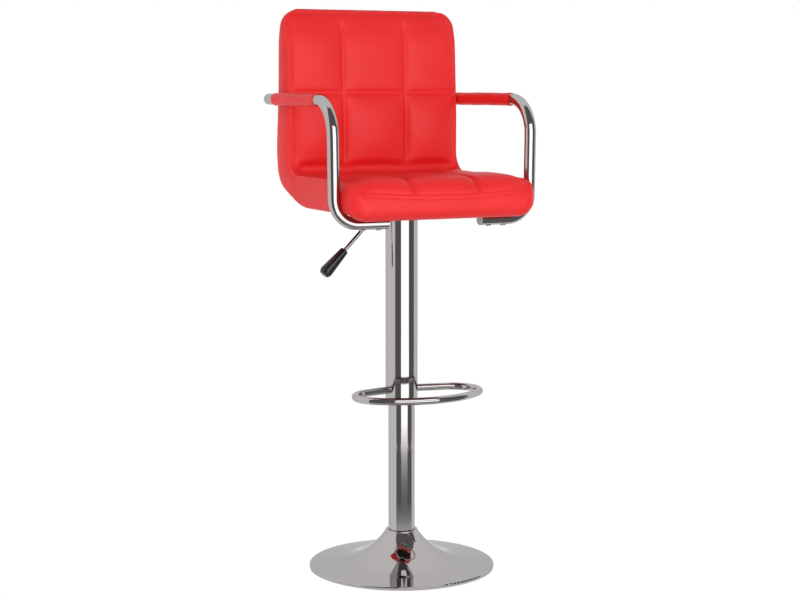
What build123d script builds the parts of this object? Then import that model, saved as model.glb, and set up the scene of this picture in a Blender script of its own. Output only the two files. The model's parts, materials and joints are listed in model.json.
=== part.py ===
from build123d import *
import math
import os

# Adjustable swivel stool with arms and a footrest, in millimetres.
# Origin: floor level on the column's axis. +Z up, and the sitter faces -Y.
# The seat is drawn at its greatest height. Lowered, it stands height_stroke further down.

# ---- clearances
running_gap = 0.05  # radial gap of sliding and turning fits
soft_gap = 0.3  # gap round padding and between padded pieces
bolt_gap = 0.3  # radial gap of a bolt in its clearance hole

# ---- base
base_radius = 192.5
skirt_bottom = 0.8  # the steel skirt's lower edge, above the floor
skirt_height = 7.4  # where the dish meets its skirt
dish_corner = (69.0, 22.3)  # radius and height where the disc's and the cone's slopes meet
dish_flare_radius = 138.0
neck_radius = 33.5
neck_height = 77.0
dish_wall = 1.8
rim_bend_radius = 2.5
ring_bottom_width = 14.0
ring_lip_width = 15.0
ring_lip_height = 3.0
ring_corner_radius = 2.0
weight_disc_thickness = 4.0
weight_step_radius = 100.0
weight_step_thickness = 8.0
weight_hub_radius = 58.0
weight_hub_thickness = 8.0
flange_radius = 46.0
flange_thickness = 4.0
base_bolt_radius = 4.0
base_bolt_circle = 36.0
base_bolt_count = 4
base_bolt_head_radius = 6.5
base_bolt_head_height = 5.0

# ---- column
column_radius = 27.4
column_wall = 2.0
column_top = 427.0
collar_flange_radius = 33.4
collar_flange_height = 2.6
collar_depth = 11.0
end_plate_bottom = 34.0
end_plate_thickness = 6.0
bush_length = 80.0

# ---- thrust bearing and rod
race_radius = 12.0
race_thickness = 2.0
ball_radius = 1.55
ball_count = 10
ball_circle = 9.0
cage_thickness = 1.4
rod_radius = 5.0
rod_stub_radius = 4.0
rod_clip_thickness = 1.5
rod_clip_radius = 8.0
rod_stub_tail = 4.0
buffer_radius = 11.0
buffer_length = 18.0

# ---- gas cylinder
height_stroke = 210.0
tube_radius = 14.0
tube_wall = 1.5
buffer_gap = 1.0  # left between the buffer and the cylinder at the lowest seat height
seal_length = 12.0
seal_inset = 1.0
piston_length = 15.0
piston_lift = 2.0  # the piston stands this far above the seal at full height
gas_space = 60.0  # left above the piston at the lowest seat height
taper_length = 40.0
taper_top_radius = 13.0
tube_rise = 2.0  # the cylinder's top above the tray's underside
pin_radius = 2.5
pin_length = 37.7
pin_bore_extra = 5.0

# ---- sleeve and footrest
sleeve_radius = 33.2
sleeve_wall = 1.5
sleeve_bottom = 352.0
glide_length = 25.0
cap_length = 15.0
foot_tube_radius = 7.5
foot_tube_wall = 1.5
foot_height = 376.5
foot_front = 158.5  # from the column's axis to the loop's front, along -Y
foot_half_width = 135.5
foot_front_radius = 176.0
foot_end_radius = 53.0
foot_root_x = 28.0
foot_root_y = -7.0

# ---- seat plate and lever
tray_size = 96.0
tray_wall = 2.5
tray_depth = 28.0  # from the board's underside to the tray's underside
tray_corner_radius = 12.0
plate_width = 170.0
plate_depth = 150.0
plate_bolt_x = 72.0
plate_bolt_y = 60.0
plate_bolt_radius = 3.0
plate_bolt_head_radius = 5.5
plate_bolt_head_height = 3.4
hub_radius = 19.0
lever_radius = 4.0
lever_rise = 11.0  # the lever's axis above the tray's underside
lever_inner_end = 5.0
lever_corner_x = -55.4
lever_bend_radius = 13.0
lever_slope = 45.0
lever_length = 145.0  # rod from its bend to its end inside the grip
pivot_x = -26.0
pivot_radius = 2.5
pivot_length = 19.0
boss_radius = 7.0
boss_width = 10.0
ear_thickness = 2.5
ear_width = 16.0
ear_above = 8.0  # the ears' tops above the lever's axis
slot_half_width = 6.0
slot_below = 5.5
slot_above = 9.0
grip_start = 103.7  # from the rod's bend
grip_length = 67.5
grip_root_radius = 8.5
grip_end_radius = 13.3
grip_nose = 9.0

# ---- seat shell
seat_half_width = 195.0
seat_front = -206.0
seat_top = 817.5
nose_depth = 78.5  # from the seat's top to the bottom of its nose
seat_depth = 65.0  # from the seat's top to its underside
back_face = 122.0  # the back's front face, just above the seat
back_top = 1154.0
board_thickness = 12.0
board_side_margin = 19.0  # padding beyond the board's side edges
board_front = -175.0
foam_depth = 52.5  # from the seat's top to the middle of the board
board_bend_radius = 165.0
board_corner_y = 186.0
board_top_y = 152.0
board_top_margin = 36.0  # the board's top edge below the back's top
board_plan_radius = 30.0
seat_plan_radius = 36.0
back_corner_radius = 34.0
seat_low_radius = 26.0  # rounding along the seat's lower side edges
back_plan_radius = 14.0
cover_thickness = 1.5
cover_side_margin = 30.0  # from the seat's side to the dust cover's edge
cover_front = -157.0
cover_rear = 58.0

# ---- arm frame
arm_radius = 11.7
arm_wall = 1.5
front_spacer_gap = 14.9  # between the arm frame's low run and the board
arm_front_y = -142.0
arm_side_gap = 13.8  # between the seat's side and the arm's tube
arm_lean = 3.2  # the arm's foot stands this much further in than the arm
arm_low_run = 113.8  # from the tube's end under the seat to the arm's foot
arm_top_height = 971.0
arm_low_bend = 50.0
arm_top_bend = 70.0
arm_rear_y = 224.0
arm_rear_bend = 40.0
arm_back_gap = 0.3  # between the back's side and a pad's line at the arm's rear end
pad_radius = 13.7
pad_front = -72.0
pad_rear = 154.0
pad_end_round = 1.0
plug_depth = 12.0
plug_cap = 1.5
arm_bolt_radius = 3.0
arm_bolt_head_radius = 5.5
arm_bolt_head_height = 2.0
arm_bolt_inset = 19.5  # from the tube's end to its first bolt
arm_bolt_spacing = 34.0
rear_bolt_x = 85.0
spacer_radius = 8.0
nut_barrel_radius = 4.4
nut_flange_radius = 9.0
nut_flange_thickness = 1.5
nut_length = 10.0
nut_sink = 1.2

# ---- sizes that follow from the seat's top, the back's top and the seat's width
cut_reach = back_top  # trimming solids run this far, which is past every edge of the seat
board_half_width = seat_half_width - board_side_margin
cover_half_width = seat_half_width - cover_side_margin
arm_top_x = seat_half_width + arm_side_gap + arm_radius
arm_low_x = arm_top_x - arm_lean
arm_rear_x = seat_half_width + arm_back_gap + pad_radius
arm_inner_x = arm_low_x - arm_low_run
arm_bolt_xs = (arm_inner_x + arm_bolt_inset, arm_inner_x + arm_bolt_inset + arm_bolt_spacing)
seat_nose_bottom = seat_top - nose_depth
seat_underside = seat_top - seat_depth
board_level = seat_top - foam_depth
board_bottom = board_level - board_thickness / 2
board_top = (board_top_y, back_top - board_top_margin)
tray_floor = board_bottom - tray_depth
plate_bottom = board_bottom - tray_wall
lever_height = tray_floor + lever_rise
ear_top = lever_height + ear_above
slot_bottom = lever_height - slot_below
slot_top = lever_height + slot_above
tube_top = tray_floor + tube_rise
taper_bottom = tube_top - taper_length
pin_top = lever_height - lever_radius - soft_gap
pin_bottom = pin_top - pin_length
arm_low_height = board_bottom - front_spacer_gap - arm_radius


# ---- helpers
def tube(outer, inner, bottom, top):
    """A round tube on the Z axis between two heights."""
    height = top - bottom
    at_bottom = Pos(0, 0, bottom)
    low = (Align.CENTER, Align.CENTER, Align.MIN)
    wall = Cylinder(outer, height, align=low)
    if inner > 0:
        wall -= Cylinder(inner, height, align=low)
    return at_bottom * wall


def rod_between(start, end, radius):
    """A solid round rod from one point to another."""
    run = Vector(*end) - Vector(*start)
    low = (Align.CENTER, Align.CENTER, Align.MIN)
    return Plane(origin=start, z_dir=run) * Cylinder(radius, run.length, align=low)


def block(low, high):
    """A box between two corners."""
    size = [b - a for a, b in zip(low, high)]
    middle = [(a + b) / 2 for a, b in zip(low, high)]
    return Pos(*middle) * Box(*size)


def offset_path(points, radii, distance):
    """A filleted path moved sideways by a distance to its left, as points and radii."""
    normals = []
    for (x0, y0), (x1, y1) in zip(points, points[1:]):
        length = math.hypot(x1 - x0, y1 - y0)
        normals.append(((y0 - y1) / length, (x1 - x0) / length))
    moved = [(points[0][0] + normals[0][0] * distance, points[0][1] + normals[0][1] * distance)]
    new_radii = []
    for (x, y), (ax, ay), (bx, by), radius in zip(points[1:], normals, normals[1:], radii):
        share = distance / (1 + ax * bx + ay * by)
        moved.append((x + (ax + bx) * share, y + (ay + by) * share))
        left_turn = ax * by - ay * bx > 0
        new_radii.append(radius - distance if left_turn else radius + distance)
    moved.append((points[-1][0] + normals[-1][0] * distance, points[-1][1] + normals[-1][1] * distance))
    return moved, new_radii


def face_from(points, radii):
    """A closed filleted outline as a face in the XY plane."""
    return make_face(FilletPolyline(*points, radius=radii, close=True))


def turned(points, radii):
    """A solid of revolution about Z from a closed outline of (radius, height) points."""
    section = Plane.XZ * face_from(points, radii)
    return revolve(section, Axis.Z)


def side_solid(face, half_width):
    """A side view outline of (y, z) points made solid from -half_width to +half_width in X."""
    return extrude(Plane.YZ * face, half_width, both=True)


def ring_of(solid, count, turn=0.0):
    """Copies of a solid about the Z axis."""
    return [Rot(0, 0, turn + 360 * i / count) * solid for i in range(count)]


def both_sides(solid):
    """A solid and its mirror image across the YZ plane."""
    return [solid, mirror(solid, Plane.YZ)]


def group(solids):
    """Separate solids kept together in one node."""
    parts = []
    for item in solids:
        parts.extend(item.solids())
    return Compound(children=parts) if len(parts) > 1 else parts[0]


# ---- base pieces
def dish_slope():
    """How much the disc rises for each millimetre towards the column."""
    return (dish_corner[1] - skirt_height) / (base_radius - dish_corner[0])


def dish_under(radius):
    """Height of the disc's underside at a radius outside the flare."""
    outer = skirt_height + (base_radius - radius) * dish_slope()
    return outer - dish_wall * math.hypot(1, dish_slope())


def make_base_dish():
    """A trumpet pressing: a neck cone, a hollow flare, a gently sloping disc and a short skirt."""
    outside = [(neck_radius, neck_height), dish_corner, (base_radius, skirt_height)]
    outside.append((base_radius, skirt_bottom))
    radii = [dish_flare_radius, rim_bend_radius]
    inside, inner_radii = offset_path(outside, radii, -dish_wall)
    cone_run = (dish_corner[0] - neck_radius) / (neck_height - dish_corner[1])
    rise = neck_height - inside[0][1]
    inside[0] = (inside[0][0] - rise * cone_run, neck_height)
    points = outside + inside[::-1]
    return turned(points, [0] + radii + [0, 0] + inner_radii[::-1] + [0])


ring_outer = base_radius - dish_wall - soft_gap
ring_inner = ring_outer - ring_bottom_width
lip_inner = ring_inner - ring_lip_width
weight_radius = ring_inner - soft_gap
weight_bottom = ring_lip_height
weight_step = weight_bottom + weight_disc_thickness
weight_hub = weight_step + weight_step_thickness
weight_top = weight_hub + weight_hub_thickness
column_inner = column_radius - column_wall
column_bottom = weight_hub


def make_floor_ring():
    """Rubber ring inside the skirt, with a lip that carries the weight disc."""
    bottom = [(lip_inner, 0), (ring_outer, 0), (ring_outer, dish_under(ring_outer))]
    top = [(ring_inner, dish_under(ring_inner)), (ring_inner, ring_lip_height)]
    points = bottom + top + [(lip_inner, ring_lip_height)]
    return turned(points, [0, 0, ring_corner_radius, 0, 0, 0])


def base_bolt_holes(radius, bottom, top):
    """Rods that cut the base bolts' holes."""
    rod = rod_between((base_bolt_circle, 0, bottom), (base_bolt_circle, 0, top), radius)
    return ring_of(rod, base_bolt_count, 45)


def make_weight_plate():
    """Stepped cast disc that gives the stool its weight, bored for the column and its bolts."""
    disc = tube(weight_radius, 0, weight_bottom, weight_step)
    disc += tube(weight_step_radius, 0, weight_step, weight_hub)
    disc += tube(weight_hub_radius, 0, weight_hub, weight_top)
    disc -= tube(column_radius, 0, column_bottom, weight_top)
    disc -= tube(column_inner, 0, weight_bottom, column_bottom)
    head_top = weight_bottom + base_bolt_head_height + bolt_gap
    for hole in base_bolt_holes(base_bolt_radius + bolt_gap, weight_bottom, weight_top):
        disc -= hole
    for hole in base_bolt_holes(base_bolt_head_radius + bolt_gap, weight_bottom, head_top):
        disc -= hole
    return disc


def make_column_flange():
    """Steel ring welded round the column, tapped for the base bolts."""
    flange = tube(flange_radius, column_radius, weight_top, weight_top + flange_thickness)
    for hole in base_bolt_holes(base_bolt_radius, weight_top, weight_top + flange_thickness):
        flange -= hole
    return flange


def make_base_bolts():
    """Bolts from below, through the weight disc into the flange."""
    head_bottom = weight_bottom + bolt_gap
    head_top = head_bottom + base_bolt_head_height
    top = weight_top + flange_thickness
    shaft = rod_between((base_bolt_circle, 0, head_top), (base_bolt_circle, 0, top), base_bolt_radius)
    head = rod_between((base_bolt_circle, 0, head_bottom), (base_bolt_circle, 0, head_top),
                       base_bolt_head_radius)
    socket = Pos(base_bolt_circle, 0, head_bottom) * extrude(RegularPolygon(3.0, 6), 3.0)
    return group(ring_of(shaft + head - socket, base_bolt_count, 45))


def make_base_collar():
    """Chromed ring that closes the dish's neck round the column."""
    cone_slope = math.atan2(neck_height - dish_corner[1], dish_corner[0] - neck_radius)
    neck_hole = neck_radius - dish_wall / math.sin(cone_slope) - running_gap
    bottom = neck_height - collar_depth
    top = neck_height + collar_flange_height
    inner = column_radius
    points = [(inner, bottom), (neck_hole, bottom), (neck_hole, neck_height)]
    points += [(collar_flange_radius, neck_height), (collar_flange_radius, top), (inner, top)]
    return turned(points, [0, 0, 0, 0, 1.8, 0])


def make_column_tube():
    return tube(column_radius, column_inner, column_bottom, column_top)


end_plate_top = end_plate_bottom + end_plate_thickness


def make_column_end_plate():
    """Plate welded across the column that carries the gas lift."""
    return tube(column_inner, rod_stub_radius + running_gap, end_plate_bottom, end_plate_top)


def make_guide_bush():
    """Plastic bush in the column's mouth that guides the gas cylinder."""
    bush = tube(column_inner, tube_radius + running_gap, column_top - bush_length, column_top)
    return bush


# ---- thrust bearing, rod and cylinder
lower_race_top = end_plate_top + race_thickness
ball_level = lower_race_top + running_gap + ball_radius
upper_race_bottom = ball_level + ball_radius + running_gap
shoulder = upper_race_bottom + race_thickness
tube_bottom = shoulder + buffer_length + buffer_gap + height_stroke
seal_bottom = tube_bottom + seal_inset
seal_top = seal_bottom + seal_length
piston_bottom = seal_top + piston_lift
bore_top = piston_bottom + piston_length + height_stroke + gas_space
tube_inner = tube_radius - tube_wall


def make_race(bottom, inner):
    return tube(race_radius, inner, bottom, bottom + race_thickness)


def make_bearing_balls():
    ball = Pos(ball_circle, 0, ball_level) * Sphere(ball_radius)
    return group(ring_of(ball, ball_count))


def make_ball_cage():
    """Thin ring whose pockets keep the balls apart."""
    half = cage_thickness / 2
    cage = tube(race_radius - 0.6, rod_stub_radius + 2.0, ball_level - half, ball_level + half)
    start = (ball_circle, 0, ball_level - half)
    pocket = rod_between(start, (ball_circle, 0, ball_level + half), ball_radius + running_gap)
    for hole in ring_of(pocket, ball_count):
        cage -= hole
    return cage


def make_piston_rod():
    """Rod with a stepped foot that passes the end plate and is held by a clip."""
    clip_top = end_plate_bottom - running_gap
    clip_bottom = clip_top - rod_clip_thickness
    foot = tube(rod_stub_radius, 0, clip_bottom - rod_stub_tail, shoulder)
    foot -= tube(rod_stub_radius, rod_stub_radius - 1, clip_bottom, clip_top)
    return foot + tube(rod_radius, 0, shoulder, piston_bottom + piston_length)


def make_rod_clip():
    """Open spring clip in the rod's groove."""
    clip_top = end_plate_bottom - running_gap
    clip_bottom = clip_top - rod_clip_thickness
    clip = tube(rod_clip_radius, rod_stub_radius - 1, clip_bottom, clip_top)
    gap = rod_stub_radius - 1.4
    return clip - block((0, -gap, clip_bottom), (rod_clip_radius, gap, clip_top))


def make_rubber_buffer():
    """Rubber ring on the rod that softens the lower stop."""
    points = [(rod_radius, shoulder), (buffer_radius, shoulder)]
    points += [(buffer_radius, shoulder + buffer_length), (rod_radius, shoulder + buffer_length)]
    return turned(points, [0, 1.5, 1.5, 0])


def make_piston_head():
    head = tube(tube_inner - running_gap, rod_radius, piston_bottom, piston_bottom + piston_length)
    ring_low = piston_bottom + piston_length / 2 - 1.5
    return head - tube(tube_inner, tube_inner - 1.5, ring_low, ring_low + 3)


def make_pressure_tube():
    """Gas cylinder: a straight tube, a tapered top, a gas space and the pin's bore."""
    low = (Align.CENTER, Align.CENTER, Align.MIN)
    body = tube(tube_radius, 0, tube_bottom, taper_bottom)
    body += Pos(0, 0, taper_bottom) * Cone(tube_radius, taper_top_radius, tube_top - taper_bottom,
                                           align=low)
    body -= tube(tube_inner, 0, tube_bottom, bore_top)
    return body - tube(pin_radius + running_gap, 0, pin_bottom - pin_bore_extra, tube_top)


def make_rod_seal():
    return tube(tube_inner, rod_radius + running_gap, seal_bottom, seal_top)


def make_release_pin():
    """Pin that opens the gas valve when it is pushed down."""
    pin = tube(pin_radius, 0, pin_bottom, pin_top)
    return chamfer(pin.edges().sort_by(Axis.Z)[-1], 0.4)


# ---- sleeve and footrest
sleeve_inner = sleeve_radius - sleeve_wall


def make_sleeve_tube():
    return tube(sleeve_radius, sleeve_inner, sleeve_bottom, tray_floor)


def make_sleeve_glide():
    """Plastic ring in the sleeve's lower end that slides on the column."""
    bottom = sleeve_bottom + 1.0
    return tube(sleeve_inner, column_radius + running_gap, bottom, bottom + glide_length)


def make_sleeve_cap():
    """Ring that centres the sleeve on the seat plate's hub."""
    return tube(sleeve_inner, hub_radius, tray_floor - cap_length, tray_floor)


def footrest_half():
    """Middle line of one half of the loop: front arc, end arc, then straight to the sleeve."""
    end_x = foot_half_width - foot_end_radius
    reach = foot_front_radius - foot_end_radius
    front_turn = math.degrees(math.asin(end_x / reach))
    end_y = -foot_front + foot_front_radius - math.sqrt(reach**2 - end_x**2)
    to_root = (foot_root_x - end_x, foot_root_y - end_y)
    span = math.hypot(*to_root)
    lean = math.degrees(math.atan2(to_root[1], to_root[0]))
    tangent_at = lean - math.degrees(math.acos(foot_end_radius / span))
    end_turn = tangent_at + 90 - front_turn
    front = JernArc((0, -foot_front), (1, 0), foot_front_radius, front_turn)
    end = JernArc(front @ 1, front % 1, foot_end_radius, end_turn)
    return [front, end, Line(end @ 1, (foot_root_x, foot_root_y))]


def make_footrest():
    """Loop of bent tube whose ends are shaped to the sleeve and welded to it."""
    lines = footrest_half()
    right = [Pos(0, 0, foot_height) * line for line in lines]
    left = [mirror(line, Plane.YZ) for line in right]
    path = Wire([edge for line in right + left for edge in line.edges()])
    start = path @ 0
    section = Plane(origin=start, z_dir=path % 0)
    ring = Circle(foot_tube_radius) - Circle(foot_tube_radius - foot_tube_wall)
    loop = sweep(section * ring, path=path)
    bite = tube(sleeve_radius, 0, foot_height - 30, foot_height + 30)
    return loop - bite


# ---- seat plate and lever
def rounded_block(size_x, size_y, radius, bottom, top):
    outline = RectangleRounded(size_x, size_y, radius)
    return Pos(0, 0, bottom) * extrude(outline, top - bottom)


def plate_bolt_places():
    return [(x, y) for x in (-plate_bolt_x, plate_bolt_x) for y in (-plate_bolt_y, plate_bolt_y)]


def make_seat_plate():
    """Pressed plate: a flange under the board and a tray that holds the lever's works."""
    inner_size = tray_size - 2 * tray_wall
    plate = rounded_block(plate_width, plate_depth, tray_corner_radius, plate_bottom, board_bottom)
    plate += rounded_block(tray_size, tray_size, tray_corner_radius, tray_floor, board_bottom)
    plate -= rounded_block(inner_size, inner_size, tray_corner_radius - tray_wall,
                           tray_floor + tray_wall, board_bottom)
    plate -= tube(hub_radius, 0, tray_floor, tray_floor + tray_wall)
    plate -= block((-tray_size, -slot_half_width, slot_bottom), (pivot_x - 12, slot_half_width, slot_top))
    for x, y in plate_bolt_places():
        plate -= rod_between((x, y, plate_bottom), (x, y, board_bottom), plate_bolt_radius + bolt_gap)
    return plate


def make_hub_socket():
    """Tapered socket welded in the tray, in which the gas cylinder sits."""
    low = (Align.CENTER, Align.CENTER, Align.MIN)
    hub = tube(hub_radius, 0, taper_bottom, tray_floor + tray_wall)
    cone = Pos(0, 0, taper_bottom) * Cone(tube_radius, taper_top_radius, tube_top - taper_bottom,
                                          align=low)
    return hub - cone - tube(taper_top_radius, 0, tube_top, tray_floor + tray_wall)


def make_plate_bolts():
    """Screws that hold the seat plate to the board."""
    top = board_bottom + nut_length - 1
    bolts = []
    for x, y in plate_bolt_places():
        head_bottom = plate_bottom - plate_bolt_head_height
        head = rod_between((x, y, head_bottom), (x, y, plate_bottom), plate_bolt_head_radius)
        socket = Pos(x, y, head_bottom) * extrude(RegularPolygon(2.2, 6), 2.0)
        shaft = rod_between((x, y, plate_bottom), (x, y, top), plate_bolt_radius)
        bolts.append(head + shaft - socket)
    return group(bolts)


def lever_point(distance):
    """A point on the sloping run of the lever, counted from the corner of its bend."""
    slope = math.radians(lever_slope)
    x = lever_corner_x - distance * math.cos(slope)
    return (x, 0, lever_height - distance * math.sin(slope))


def make_lever_rod():
    """Bent rod with a bored boss at its pivot."""
    start = (lever_inner_end, 0, lever_height)
    corner = (lever_corner_x, 0, lever_height)
    path = FilletPolyline(start, corner, lever_point(lever_length), radius=[lever_bend_radius])
    rod = sweep(Plane(origin=start, z_dir=(-1, 0, 0)) * Circle(lever_radius), path=path)
    half = boss_width / 2
    axis_start = (pivot_x, -half, lever_height)
    axis_end = (pivot_x, half, lever_height)
    rod += rod_between(axis_start, axis_end, boss_radius)
    return rod - rod_between(axis_start, axis_end, pivot_radius + running_gap)


def make_lever_handle():
    """Tapered plastic grip with a rounded nose, pushed on the rod."""
    nose_start = grip_length - grip_nose
    points = [(0, 0), (grip_root_radius, 0), (grip_end_radius, nose_start)]
    points += [(grip_end_radius * 0.75, grip_length), (0, grip_length)]
    outline = face_from(points, [0, 3.0, 6.0, 5.5, 0])
    grip = revolve(Plane.XZ * outline, Axis.Z)
    start = lever_point(grip_start)
    along = Vector(*lever_point(grip_start + 1)) - Vector(*start)
    grip = Plane(origin=start, x_dir=(0, 1, 0), z_dir=along) * grip
    return grip - rod_between(start, lever_point(lever_length), lever_radius)


def make_lever_bracket():
    """Two ears that stand on the tray's floor and hold the pivot pin."""
    floor = tray_floor + tray_wall
    inner = boss_width / 2 + soft_gap
    low = (pivot_x - ear_width / 2, inner, floor)
    high = (pivot_x + ear_width / 2, inner + ear_thickness, ear_top)
    ear = block(low, high)
    ear = fillet(ear.edges().filter_by(Axis.Y).group_by(Axis.Z)[-1], 5)
    ear -= rod_between((pivot_x, 0, lever_height), (pivot_x, 30, lever_height), pivot_radius)
    bore = tube(hub_radius, 0, floor, ear_top)
    return group([solid - bore for solid in (ear, mirror(ear, Plane.XZ))])


def make_lever_pivot_pin():
    half = pivot_length / 2
    return rod_between((pivot_x, -half, lever_height), (pivot_x, half, lever_height), pivot_radius)


# ---- seat shell
def up_back(share):
    """A height on the back, as a share of the way from the seat's top to the back's top."""
    return seat_top + share * (back_top - seat_top)


shell_points = [
    (148.0, back_top),
    (130.0, up_back(0.816)),
    (back_face, up_back(0.364)),
    (back_face, seat_top),
    (seat_front, seat_top),
    (seat_front, seat_nose_bottom),
    (-174.0, seat_nose_bottom),
    (-161.0, seat_underside),
    (62.0, seat_underside),
    (178.0, seat_top - 17.5),
    (190.0, seat_top + 54.5),
    (180.0, up_back(0.498)),
    (176.5, up_back(0.816)),
    (160.0, back_top),
]
shell_radii = [7, 150, 300, 42, 27, 20, 8, 8, 200, 60, 150, 300, 150, 7]


def board_path(distance):
    """The board's side view line, moved to its left by a distance."""
    points = [(board_front, board_level), (board_corner_y, board_level), board_top]
    return offset_path(points, [board_bend_radius], distance)


def board_face(half, extra=0.0):
    """The board's side view, with its faces half away from its middle and its ends longer by extra."""
    inner, inner_radii = board_path(half)
    outer, outer_radii = board_path(-half)
    rise = Vector(*board_top) - Vector(board_corner_y, board_level)
    step = rise.normalized() * extra
    inner[0] = (inner[0][0] - extra, inner[0][1])
    outer[0] = (outer[0][0] - extra, outer[0][1])
    inner[-1] = (inner[-1][0] + step.X, inner[-1][1] + step.Y)
    outer[-1] = (outer[-1][0] + step.X, outer[-1][1] + step.Y)
    return face_from(inner + outer[::-1], [0] + inner_radii + [0, 0] + outer_radii + [0])


def behind_face(distance):
    """Everything behind and below the board's rear face, out past the shell."""
    line, radii = board_path(-distance)
    rise = Vector(*line[-1]) - Vector(*line[-2])
    top = Vector(*line[-1]) + rise.normalized() * cut_reach
    near_y = seat_front - cut_reach
    far_y = board_corner_y + cut_reach
    low_z = board_level - cut_reach
    points = [(near_y, line[0][1]), line[1], (top.X, top.Y)]
    points += [(far_y, top.Y), (far_y, low_z), (near_y, low_z)]
    return face_from(points, [0] + radii + [0, 0, 0, 0])


def rounded_from_above(half_width, front, rear, front_radius, rear_radius):
    """A tall prism whose outline from above has rounded corners."""
    points = [(-half_width, front), (half_width, front), (half_width, rear), (-half_width, rear)]
    radii = [front_radius, front_radius, rear_radius, rear_radius]
    return Pos(0, 0, board_level - cut_reach) * extrude(face_from(points, radii), 2 * cut_reach)


def rounded_from_front(half_width, low, top, low_radius, top_radius):
    """A deep prism whose outline from the front has rounded corners."""
    points = [(-half_width, low), (half_width, low), (half_width, top), (-half_width, top)]
    outline = face_from(points, [low_radius, low_radius, top_radius, top_radius])
    return Pos(0, cut_reach, 0) * extrude(Plane.XZ * outline, 2 * cut_reach)


def spacer_holes(radius):
    """Rods where the arm frame's spacers pass through the padding."""
    holes = []
    for x in arm_bolt_xs:
        low = (x, arm_front_y, arm_low_height)
        holes.extend(both_sides(rod_between(low, (x, arm_front_y, board_bottom + 1), radius)))
    rear = (rear_bolt_x, arm_rear_y, arm_top_height)
    rod = rod_between(rear, (rear_bolt_x, board_middle(arm_top_height), arm_top_height), radius)
    holes.extend(both_sides(rod))
    return holes


def seat_envelope():
    above = rounded_from_above(seat_half_width, seat_front, board_corner_y + 10, seat_plan_radius,
                               back_plan_radius)
    front = rounded_from_front(seat_half_width, seat_nose_bottom, back_top, seat_low_radius,
                               back_corner_radius)
    return above & front


def nut_cuts():
    """Holes and recesses in the board for the tee nuts."""
    cuts = []
    top = board_level + board_thickness / 2
    places = list(plate_bolt_places())
    places += [(x * side, arm_front_y) for x in arm_bolt_xs for side in (-1, 1)]
    for x, y in places:
        cuts.append(rod_between((x, y, board_bottom), (x, y, top), nut_barrel_radius))
        recess = (x, y, top - nut_flange_thickness)
        cuts.append(rod_between(recess, (x, y, top + 1), nut_flange_radius + soft_gap))
    rear = rear_nut_front()
    for side in (-1, 1):
        x = rear_bolt_x * side
        through = rod_between((x, rear - 5, arm_top_height), (x, rear + 20, arm_top_height),
                              nut_barrel_radius)
        recess = rod_between((x, rear - 5, arm_top_height),
                             (x, rear + nut_flange_thickness, arm_top_height),
                             nut_flange_radius + soft_gap)
        cuts.extend([through, recess])
    return cuts


def board_middle(height):
    """The y of the board's middle line behind the sitter at a height, on its bend or above it."""
    rise = Vector(*board_top) - Vector(board_corner_y, board_level)
    turn = math.atan2(rise.Y, rise.X)
    reach = board_bend_radius * math.tan(turn / 2)
    bend_end = board_level + reach * math.sin(turn)
    if height >= bend_end:
        return board_corner_y + (height - board_level) / math.tan(turn)
    from_centre = height - board_level - board_bend_radius
    centre_y = board_corner_y - reach
    return centre_y + math.sqrt(board_bend_radius**2 - from_centre**2)


def rear_nut_front():
    """The rear tee nuts lie just inside the board's front face at the arm frame's height."""
    return board_middle(arm_top_height) - board_thickness / 2 + nut_sink


def make_seat_board():
    """Bent plywood shell that carries the seat and the back."""
    board = side_solid(board_face(board_thickness / 2), board_half_width)
    above = rounded_from_above(board_half_width, board_front, board_corner_y + 10, board_plan_radius, 2)
    front = rounded_from_front(board_half_width, board_level - cut_reach, board_top[1] + board_thickness,
                               0, board_plan_radius)
    board = board & above & front
    for cut in nut_cuts():
        board -= cut
    return board


def make_seat_cushion():
    """Foam and cover in front of and above the board, wrapped round the board's edges."""
    inside = face_from(shell_points, shell_radii) - behind_face(board_thickness / 2)
    cushion = side_solid(inside, seat_half_width) & seat_envelope()
    half = board_thickness / 2 + soft_gap
    pocket = side_solid(board_face(half, soft_gap), board_half_width + soft_gap)
    return cushion - pocket


def make_rear_cover():
    """Thin padding behind and below the board, with a window for the seat plate."""
    outside = face_from(shell_points, shell_radii) & behind_face(board_thickness / 2 + soft_gap)
    cover = side_solid(outside, seat_half_width) & seat_envelope()
    margin = soft_gap + 7
    cover -= block((-plate_width / 2 - margin, -plate_depth / 2 - margin, seat_underside - 20),
                   (plate_width / 2 + margin, plate_depth / 2 + margin, board_bottom + 20))
    for hole in spacer_holes(spacer_radius + soft_gap):
        cover -= hole
    return cover


def make_dust_cover():
    """Thin panel stapled under the seat, open round the tray and the spacers."""
    top = seat_underside - soft_gap
    low = (-cover_half_width, cover_front, top - cover_thickness)
    panel = block(low, (cover_half_width, cover_rear, top))
    panel = fillet(panel.edges().filter_by(Axis.Z), 12)
    hole = tray_size + 2 * soft_gap
    panel -= rounded_block(hole, hole, tray_corner_radius, top - 10, top)
    for hole in spacer_holes(spacer_radius + soft_gap):
        panel -= hole
    return panel


# ---- arm frame
def arm_path():
    """Middle line of the arm frame: under the seat, up, back along the arm and round behind."""
    right = [(arm_inner_x, arm_front_y, arm_low_height), (arm_low_x, arm_front_y, arm_low_height)]
    right += [(arm_top_x, arm_front_y, arm_top_height), (arm_rear_x, arm_rear_y, arm_top_height)]
    left = [(-x, y, z) for x, y, z in right[::-1]]
    bends = [arm_low_bend, arm_top_bend, arm_rear_bend]
    return FilletPolyline(*right, *left, radius=bends + bends[::-1])


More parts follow.
